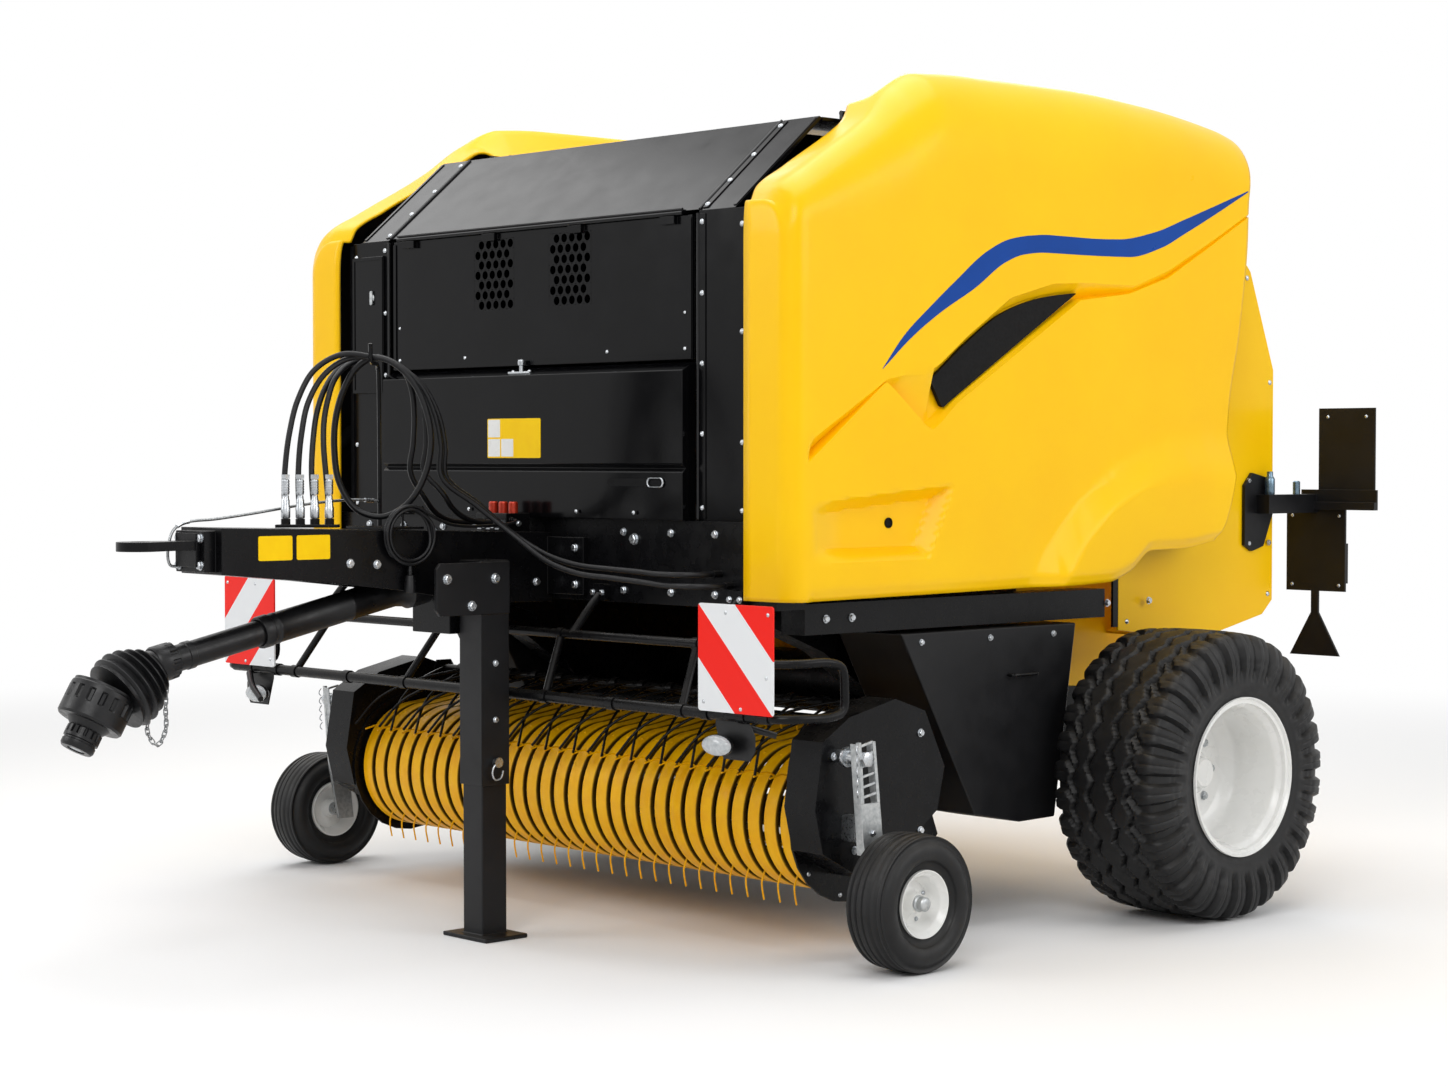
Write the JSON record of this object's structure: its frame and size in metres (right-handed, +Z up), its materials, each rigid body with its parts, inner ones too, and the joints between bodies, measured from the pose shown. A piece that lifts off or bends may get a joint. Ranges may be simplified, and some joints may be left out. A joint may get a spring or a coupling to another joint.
{
  "type": "round baler",
  "caption": "Trailed round baler with roller chamber, wide pick-up, hinged side covers, opening tailgate and drawbar jack.",
  "frame": {"origin": "middle of the machine's footprint, on the ground it stands on", "axes": "+Z up, +X the machine's left side, -Y forward along the drawbar to the tractor"},
  "size_m": [2.964, 4.0006, 2.4605],
  "materials": {
    "yellow_cover": "glossy moulded and painted yellow",
    "yellow_sheet": "gloss yellow paint on sheet steel",
    "pickup_yellow": "semi-gloss orange-yellow paint, scuffed",
    "black_paint": "gloss black paint",
    "satin_black": "satin black paint",
    "guard_plastic": "dull black moulded guard",
    "white_rim": "gloss white paint",
    "zinc_steel": "galvanised",
    "hose_rubber": "smooth black hose cover",
    "tyre_rubber": "matt black rubber",
    "reflective_board": "red and white reflective sheet"
  },
  "bodies": {
    "chassis": {"axle_beam": "black_paint", "chassis_frame": "black_paint", "drawbar": "black_paint", "hitch_eye": "black_paint", "gearbox": "black_paint", "jack_sleeve": "black_paint", "chamber_front": "black_paint", "roof_panel": "black_paint", "upper_hood": "black_paint", "front_corner_left": "black_paint", "front_corner_right": "black_paint", "front_panel": "black_paint", "guard_frame": "black_paint", "warning_board_left": "reflective_board", "warning_board_right": "reflective_board", "side_shield_left": "satin_black", "side_shield_right": "satin_black", "shaft_rear_guard": "guard_plastic", "hose_hook": "zinc_steel", "hose_holder": "zinc_steel", "hydraulic_hose_1": "hose_rubber", "hydraulic_hose_2": "hose_rubber", "hydraulic_hose_3": "hose_rubber", "hydraulic_hose_4": "hose_rubber", "control_cable": "hose_rubber", "control_cable_coil": "hose_rubber", "control_plug": "guard_plastic", "safety_rope": "zinc_steel"},
    "wheel_left": {"main_tyre_left": "tyre_rubber", "main_rim_left": "white_rim"},
    "wheel_right": {"main_tyre_right": "tyre_rubber", "main_rim_right": "white_rim"},
    "jack_leg": {"jack_leg": "black_paint"},
    "cover_left": {"side_cover_left": "yellow_cover"},
    "cover_right": {"side_cover_right": "yellow_cover"},
    "front_flap": {"front_flap": "black_paint"},
    "control_hatch": {"control_hatch": "black_paint"},
    "tailgate": {"tailgate_shell": "black_paint", "tailgate_cheek_left": "yellow_sheet", "tailgate_cheek_right": "yellow_sheet", "rear_carrier_left": "black_paint", "rear_carrier_right": "black_paint"},
    "pickup": {"pickup_frame": "black_paint", "pickup_bands": "pickup_yellow", "gauge_arm_left": "zinc_steel", "gauge_arm_right": "zinc_steel"},
    "pickup_reel": {"pickup_reel": "pickup_yellow"},
    "wind_guard": {"wind_guard": "black_paint"},
    "gauge_wheel_left": {"gauge_tyre_left": "tyre_rubber", "gauge_rim_left": "zinc_steel"},
    "gauge_wheel_right": {"gauge_tyre_right": "tyre_rubber", "gauge_rim_right": "zinc_steel"},
    "drive_shaft": {"shaft_front_guard": "guard_plastic", "shaft_yoke": "guard_plastic"}
  },
  "joints": [
    {"name": "wheel_left_spin", "type": "hinge", "parent": "chassis", "child": "wheel_left", "pos_m": [1.277, 1.02334, 0.425], "axis": [1, 0, 0], "continuous": true},
    {"name": "wheel_right_spin", "type": "hinge", "parent": "chassis", "child": "wheel_right", "pos_m": [-1.277, 1.02334, 0.425], "axis": [1, 0, 0], "continuous": true},
    {"name": "jack_lift", "type": "slide", "parent": "chassis", "child": "jack_leg", "axis": [0, 0, 1], "range_m": [0, 0.36]},
    {"name": "cover_left_open", "type": "hinge", "parent": "chassis", "child": "cover_left", "pos_m": [0.8, 0.52334, 2.335], "axis": [0, -1, 0], "range_deg": [0, 65]},
    {"name": "cover_right_open", "type": "hinge", "parent": "chassis", "child": "cover_right", "pos_m": [-0.8, 0.52334, 2.335], "axis": [0, 1, 0], "range_deg": [0, 65]},
    {"name": "front_flap_open", "type": "hinge", "parent": "chassis", "child": "front_flap", "pos_m": [0, -0.45466, 2.034], "axis": [-1, 0, 0], "range_deg": [0, 85]},
    {"name": "control_hatch_open", "type": "hinge", "parent": "chassis", "child": "control_hatch", "pos_m": [-0.899, -0.45966, 1.775], "axis": [0, 0, -1], "range_deg": [0, 90]},
    {"name": "tailgate_open", "type": "hinge", "parent": "chassis", "child": "tailgate", "pos_m": [0, 0.96334, 2.23], "axis": [1, 0, 0], "range_deg": [0, 60]},
    {"name": "pickup_lift", "type": "hinge", "parent": "chassis", "child": "pickup", "pos_m": [0, 0.40334, 0.65], "axis": [-1, 0, 0], "range_deg": [0, 15]},
    {"name": "reel_spin", "type": "hinge", "parent": "pickup", "child": "pickup_reel", "pos_m": [0, -0.15666, 0.36], "axis": [1, 0, 0], "continuous": true},
    {"name": "wind_guard_lift", "type": "hinge", "parent": "pickup", "child": "wind_guard", "pos_m": [0, -0.01666, 0.66], "axis": [-1, 0, 0], "range_deg": [0, 18]},
    {"name": "gauge_left_spin", "type": "hinge", "parent": "pickup", "child": "gauge_wheel_left", "pos_m": [1.339, -0.26066, 0.185], "axis": [1, 0, 0], "continuous": true},
    {"name": "gauge_right_spin", "type": "hinge", "parent": "pickup", "child": "gauge_wheel_right", "pos_m": [-1.339, -0.26066, 0.185], "axis": [1, 0, 0], "continuous": true},
    {"name": "shaft_telescope", "type": "slide", "parent": "chassis", "child": "drive_shaft", "axis": [0, -0.9769, -0.2138], "range_m": [-0.12, 0.2]}
  ]
}
